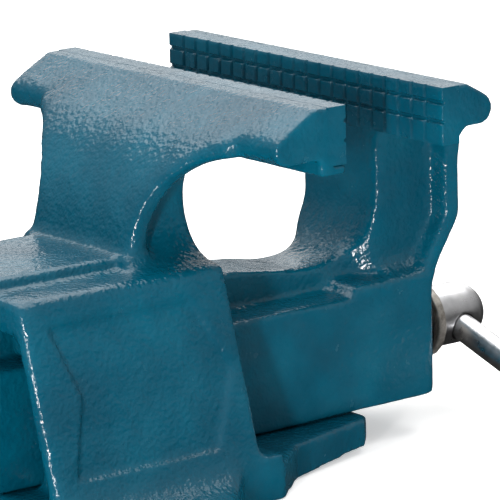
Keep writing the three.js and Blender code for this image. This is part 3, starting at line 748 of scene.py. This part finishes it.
class Nodes:
    """A material's node tree, built by short calls."""

    def __init__(self, name):
        self.material = bpy.data.materials.new(name)
        self.material.use_nodes = True
        self.tree = self.material.node_tree
        self.shader = self.tree.nodes["Principled BSDF"]
        self.place = self.tree.nodes.new("ShaderNodeTexCoord").outputs["Object"]

    def link(self, source, target):
        """Joins an output to a socket."""
        self.tree.links.new(source, target)

    def noise(self, length, detail=2.0, rough=0.5, stretch=None, distortion=0.0):
        """Noise with features of about the given length in metres."""
        node = self.tree.nodes.new("ShaderNodeTexNoise")
        node.inputs["Scale"].default_value = 1.0 / length
        node.inputs["Detail"].default_value = detail
        node.inputs["Roughness"].default_value = rough
        node.inputs["Distortion"].default_value = distortion
        source = self.place
        if stretch:
            mapping = self.tree.nodes.new("ShaderNodeMapping")
            mapping.inputs["Scale"].default_value = stretch
            self.link(source, mapping.inputs["Vector"])
            source = mapping.outputs["Vector"]
        self.link(source, node.inputs["Vector"])
        return node.outputs["Fac"]

    def spread(self, source, low, high, from_low=0.0, from_high=1.0):
        """Maps a value from one range to another."""
        node = self.tree.nodes.new("ShaderNodeMapRange")
        node.inputs["From Min"].default_value = from_low
        node.inputs["From Max"].default_value = from_high
        node.inputs["To Min"].default_value = low
        node.inputs["To Max"].default_value = high
        self.link(source, node.inputs["Value"])
        return node.outputs["Result"]

    def math(self, operation, first, second):
        """One sum of two values or outputs."""
        node = self.tree.nodes.new("ShaderNodeMath")
        node.operation = operation
        for socket, value in zip(node.inputs, (first, second)):
            if isinstance(value, (int, float)):
                socket.default_value = value
            else:
                self.link(value, socket)
        return node.outputs["Value"]

    def colours(self, source, stops):
        """Colours along a value, from stops of position and colour."""
        node = self.tree.nodes.new("ShaderNodeValToRGB")
        ramp_stops = node.color_ramp.elements
        while len(ramp_stops) < len(stops):
            ramp_stops.new(0.5)
        for stop, (position, colour) in zip(ramp_stops, stops):
            stop.position = position
            stop.color = (*colour, 1.0)
        self.link(source, node.inputs["Fac"])
        return node.outputs["Color"]

    def bump(self, height, distance, strength=1.0, below=None):
        """A bumped normal, on top of another one where below is given."""
        node = self.tree.nodes.new("ShaderNodeBump")
        node.inputs["Strength"].default_value = strength
        node.inputs["Distance"].default_value = distance
        self.link(height, node.inputs["Height"])
        if below is not None:
            self.link(below, node.inputs["Normal"])
        return node.outputs["Normal"]

    def set(self, **values):
        """Sets or links the shader's sockets by name, with _ for a space."""
        for name, value in values.items():
            socket = self.shader.inputs[name.replace("_", " ")]
            if isinstance(value, (int, float)):
                socket.default_value = value
            elif isinstance(value, tuple):
                socket.default_value = (*value, 1.0)
            else:
                self.link(value, socket)
        return self.material


LUMP_SHARE = 0.7
GRIT_SHARE = 0.12
NOISE_MIDDLE = (0.3, 0.7)


def paint_material(name, pebble_height, gloss):
    """Thick glossy teal enamel over a sand casting: pebbles, grit and a slow drift of colour."""
    nodes = Nodes(name)
    drift = nodes.noise(28 * MM, 3.0, 0.55)
    colour = nodes.colours(drift, [
        (0.30, (0.0001, 0.052, 0.088)),
        (0.52, (0.0002, 0.067, 0.110)),
        (0.75, (0.0003, 0.086, 0.137)),
    ])
    pebbles = nodes.noise(1.8 * MM, 1.0, 0.5)
    grit = nodes.noise(0.8 * MM, 2.0, 0.6)
    lumps = nodes.noise(6.5 * MM, 2.0, 0.5)
    relief = nodes.math("ADD", pebbles, nodes.math("MULTIPLY", lumps, LUMP_SHARE))
    normal = nodes.bump(relief, pebble_height)
    normal = nodes.bump(grit, GRIT_SHARE * pebble_height, below=normal)
    roughness = nodes.spread(nodes.noise(11 * MM, 4.0, 0.6), gloss - 0.04, gloss + 0.09, *NOISE_MIDDLE)
    return nodes.set(
        Base_Color=colour,
        Roughness=roughness,
        Normal=normal,
        IOR=1.5,
        Specular_IOR_Level=0.38,
        Metallic=0.0,
    )


def zinc_material():
    """Turned and plated steel: bright, with fine circular tool marks and faint stains."""
    nodes = Nodes("zinc plated steel")
    stains = nodes.noise(9 * MM, 4.0, 0.6)
    colour = nodes.colours(stains, [
        (0.30, (0.50, 0.50, 0.51)),
        (0.55, (0.66, 0.66, 0.67)),
        (0.80, (0.74, 0.73, 0.72)),
    ])
    marks = nodes.noise(0.5 * MM, 2.0, 0.6, stretch=(0.12, 1.0, 0.12))
    roughness = nodes.spread(nodes.noise(4 * MM, 4.0, 0.65), 0.24, 0.42, *NOISE_MIDDLE)
    return nodes.set(
        Base_Color=colour,
        Metallic=1.0,
        Roughness=roughness,
        Normal=nodes.bump(marks, 0.02 * MM),
    )


def raw_steel_material():
    """Plain steel with a rough, pale oxide skin."""
    nodes = Nodes("raw steel")
    patches = nodes.noise(3.5 * MM, 5.0, 0.7)
    colour = nodes.colours(patches, [
        (0.30, (0.20, 0.18, 0.155)),
        (0.55, (0.46, 0.43, 0.39)),
        (0.80, (0.62, 0.60, 0.56)),
    ])
    grit = nodes.noise(0.7 * MM, 4.0, 0.7)
    return nodes.set(
        Base_Color=colour,
        Metallic=0.8,
        Roughness=nodes.spread(patches, 0.38, 0.6, *NOISE_MIDDLE),
        Normal=nodes.bump(grit, 0.25 * MM),
    )


def black_steel_material():
    """Oil-blackened steel, rubbed slightly at random."""
    nodes = Nodes("black steel")
    rub = nodes.noise(5 * MM, 4.0, 0.65)
    colour = nodes.colours(rub, [(0.35, (0.018, 0.018, 0.020)), (0.7, (0.07, 0.068, 0.066))])
    return nodes.set(
        Base_Color=colour,
        Metallic=0.9,
        Roughness=nodes.spread(rub, 0.32, 0.55, *NOISE_MIDDLE),
        Normal=nodes.bump(nodes.noise(0.8 * MM, 3.0, 0.6), 0.05 * MM),
    )


def bronze_material():
    """Machined bronze with a light tarnish."""
    nodes = Nodes("bronze")
    tarnish = nodes.noise(7 * MM, 4.0, 0.6)
    colour = nodes.colours(tarnish, [(0.3, (0.33, 0.20, 0.085)), (0.7, (0.60, 0.41, 0.19))])
    return nodes.set(
        Base_Color=colour,
        Metallic=1.0,
        Roughness=nodes.spread(tarnish, 0.5, 0.3, *NOISE_MIDDLE),
        Normal=nodes.bump(nodes.noise(0.6 * MM, 2.0, 0.5, stretch=(1.0, 0.1, 1.0)), 0.03 * MM),
    )


# ================================================================ camera, stage and lights


def direction(azimuth, elevation):
    """Unit vector towards an angle round the vise in degrees; azimuth 0 is -Y and 90 is +X."""
    turn = math.radians(azimuth)
    rise = math.radians(elevation)
    return Vector((math.sin(turn) * math.cos(rise), -math.cos(turn) * math.cos(rise), math.sin(rise)))


def camera():
    """The photo's viewpoint, from the angles and distance above."""
    toward = direction(CAMERA_AZIMUTH, CAMERA_ELEVATION)
    data = bpy.data.cameras.new("camera")
    data.sensor_width = CAMERA_SENSOR
    data.lens = CAMERA_LENS
    data.clip_start = 0.01
    data.clip_end = 100.0
    obj = bpy.data.objects.new("camera", data)
    bpy.context.scene.collection.objects.link(obj)
    turn = toward.to_track_quat("Z", "Y").to_matrix().to_4x4()
    roll = Matrix.Rotation(math.radians(CAMERA_ROLL), 4, "Z")
    obj.matrix_world = Matrix.Translation(Vector(CAMERA_AIM) + toward * CAMERA_DISTANCE) @ turn @ roll
    bpy.context.scene.camera = obj


def floor():
    """Large pale floor, faintly glowing so that it stays white, which glossy paint doesn't mirror."""
    corners = [
        (-FLOOR_HALF, -FLOOR_HALF, 0),
        (FLOOR_HALF, -FLOOR_HALF, 0),
        (FLOOR_HALF, FLOOR_HALF, 0),
        (-FLOOR_HALF, FLOOR_HALF, 0),
    ]
    obj = new_object("floor", mesh_from("floor", corners, [(0, 1, 2, 3)]))
    nodes = Nodes("floor")
    obj.data.materials.append(nodes.set(
        Base_Color=FLOOR_COLOUR,
        Roughness=0.9,
        Specular_IOR_Level=0.0,
        Emission_Color=(1.0, 1.0, 1.0),
        Emission_Strength=FLOOR_GLOW,
    ))
    obj.visible_glossy = False


def sky():
    """White studio surroundings: dark below the horizon, growing brighter towards the zenith."""
    world = bpy.data.worlds.new("studio")
    bpy.context.scene.world = world
    world.use_nodes = True
    tree = world.node_tree
    coordinates = tree.nodes.new("ShaderNodeTexCoord")
    split = tree.nodes.new("ShaderNodeSeparateXYZ")
    shades = tree.nodes.new("ShaderNodeValToRGB")
    spread = tree.nodes.new("ShaderNodeMapRange")
    tree.links.new(coordinates.outputs["Generated"], split.inputs["Vector"])
    tree.links.new(split.outputs["Z"], spread.inputs["Value"])
    spread.inputs["From Min"].default_value = -1.0
    tree.links.new(spread.outputs["Result"], shades.inputs["Fac"])
    elements = shades.color_ramp.elements
    while len(elements) < len(SKY_STOPS):
        elements.new(0.5)
    for element, (position, level) in zip(elements, SKY_STOPS):
        element.position = position
        element.color = (level, level, level, 1.0)
    background = tree.nodes["Background"]
    tree.links.new(shades.outputs["Color"], background.inputs["Color"])
    background.inputs["Strength"].default_value = 1.0


def softbox(name, azimuth, elevation, distance, size, power):
    """Area light at an angle round the vise, facing it."""
    toward = direction(azimuth, elevation)
    data = bpy.data.lights.new(name, "AREA")
    data.shape = "RECTANGLE"
    data.size, data.size_y = size
    data.energy = power
    obj = bpy.data.objects.new(name, data)
    bpy.context.scene.collection.objects.link(obj)
    spin = toward.to_track_quat("Z", "Y").to_matrix().to_4x4()
    obj.matrix_world = Matrix.Translation(Vector(LIGHT_AIM) + toward * distance) @ spin
    obj.visible_camera = False


# ================================================================ assembly


def build():
    """Makes every piece of the finished look."""
    cast_paint = paint_material("teal cast paint", 0.42 * MM, 0.19)
    plate_paint = paint_material("teal plate paint", 0.3 * MM, 0.22)
    zinc = zinc_material()
    raw = raw_steel_material()
    black = black_steel_material()
    bronze = bronze_material()
    casting("fixed_body", "body_casting", "fixed", body_steps, cast_paint)
    casting("moving_jaw", "jaw_casting", "moving", jaw_steps, cast_paint)
    painted_plate("fixed_jaw_plate", "fixed_plate", "fixed", -1, plate_paint)
    painted_plate("moving_jaw_plate", "moving_plate", "moving", 1, plate_paint)
    screw_piece(zinc)
    bar_piece(zinc)
    knob_piece("handle_knob_left", "left", zinc)
    knob_piece("handle_knob_right", "right", zinc)
    washer_piece(raw)
    spring_piece(black)
    bevelled("retaining_collar", 0.6 * MM, raw)
    bevelled("retaining_pin", 0.3 * MM, black)
    bevelled("screw_nut", 0.8 * MM, bronze)
    for end in ("front", "rear"):
        bevelled(f"nut_bolt_{end}", 0.4 * MM, black)
        bevelled(f"nut_lock_washer_{end}", 0.15 * MM, black)
    for side in ("left", "right"):
        bevelled(f"fixed_dowel_{side}", 0.4 * MM, black)
        bevelled(f"moving_dowel_{side}", 0.4 * MM, black)


bpy.context.scene.view_settings.view_transform = "Standard"
camera()
floor()
sky()
for light in LIGHTS:
    softbox(*light)
build()
